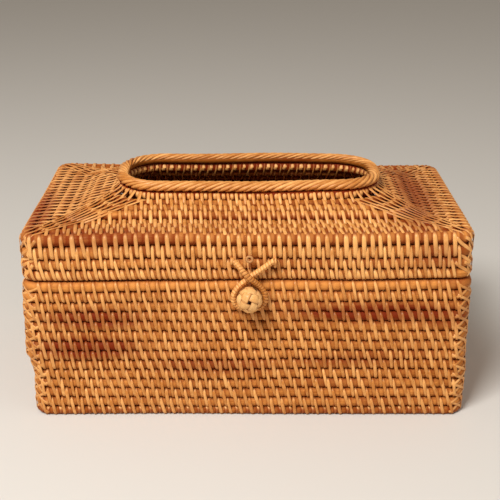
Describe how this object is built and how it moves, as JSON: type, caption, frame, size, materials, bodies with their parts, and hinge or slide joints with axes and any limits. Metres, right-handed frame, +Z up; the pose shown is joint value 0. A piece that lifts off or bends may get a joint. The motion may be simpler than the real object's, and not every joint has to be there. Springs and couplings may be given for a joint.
{
  "type": "tissue box cover",
  "caption": "Coiled rattan tissue box with a hinged, stepped lid, an oval braided slot and a loop-and-ball closure.",
  "frame": {"origin": "centre of the footprint, on the surface the box stands on", "axes": "+X along the box's width to the right, -Y to the front with the closure, +Z up"},
  "size_m": [0.25, 0.1602, 0.1313],
  "materials": {
    "wall_cane": "satin rattan cane",
    "floor_cane": "satin rattan cane",
    "splint": "glossy rattan skin",
    "braid": "glossy rattan skin",
    "ball_splint": "glossy rattan skin",
    "wrapped_loop": "splint-wrapped cane"
  },
  "bodies": {
    "base": {"wall_course_01": "wall_cane", "wall_course_02": "wall_cane", "wall_course_03": "wall_cane", "wall_course_04": "wall_cane", "wall_course_05": "wall_cane", "wall_course_06": "wall_cane", "wall_course_07": "wall_cane", "wall_course_08": "wall_cane", "wall_course_09": "wall_cane", "wall_course_10": "wall_cane", "wall_course_11": "wall_cane", "wall_course_12": "wall_cane", "wall_course_13": "wall_cane", "wall_course_14": "wall_cane", "floor_course_01": "floor_cane", "floor_course_02": "floor_cane", "floor_course_03": "floor_cane", "floor_course_04": "floor_cane", "floor_course_05": "floor_cane", "floor_course_06": "floor_cane", "floor_course_07": "floor_cane", "floor_course_08": "floor_cane", "floor_course_09": "floor_cane", "floor_course_10": "floor_cane", "floor_centre_cane": "floor_cane", "toggle_ball": "ball_splint", "toggle_tie": "splint", "toggle_knot": "splint"},
    "lid": {"lid_wall_course_01": "wall_cane", "lid_wall_course_02": "wall_cane", "lid_wall_course_03": "wall_cane", "lid_wall_course_04": "wall_cane", "lid_top_course_01": "wall_cane", "lid_top_course_02": "wall_cane", "lid_top_course_03": "wall_cane", "lid_top_course_04": "wall_cane", "lid_top_course_05": "wall_cane", "lid_top_course_06": "wall_cane", "lid_fillers_left": "floor_cane", "lid_fillers_right": "floor_cane", "slot_collar": "wall_cane", "rim_core": "wall_cane", "rim_braid": "braid", "hinge_loops_left": "splint", "hinge_loops_right": "splint", "toggle_anchor_left": "splint", "toggle_anchor_right": "splint", "toggle_eyelet": "splint"},
    "toggle_loop": {"toggle_loop": "wrapped_loop"}
  },
  "joints": [
    {"name": "lid_hinge", "type": "hinge", "parent": "base", "child": "lid", "pos_m": [0, 0.0693, 0.082], "axis": [-1, 0, 0], "range_deg": [0, 110]},
    {"name": "toggle_swing", "type": "hinge", "parent": "lid", "child": "toggle_loop", "pos_m": [0, -0.0752, 0.09842], "axis": [-1, 0, 0], "range_deg": [0, 120]}
  ]
}
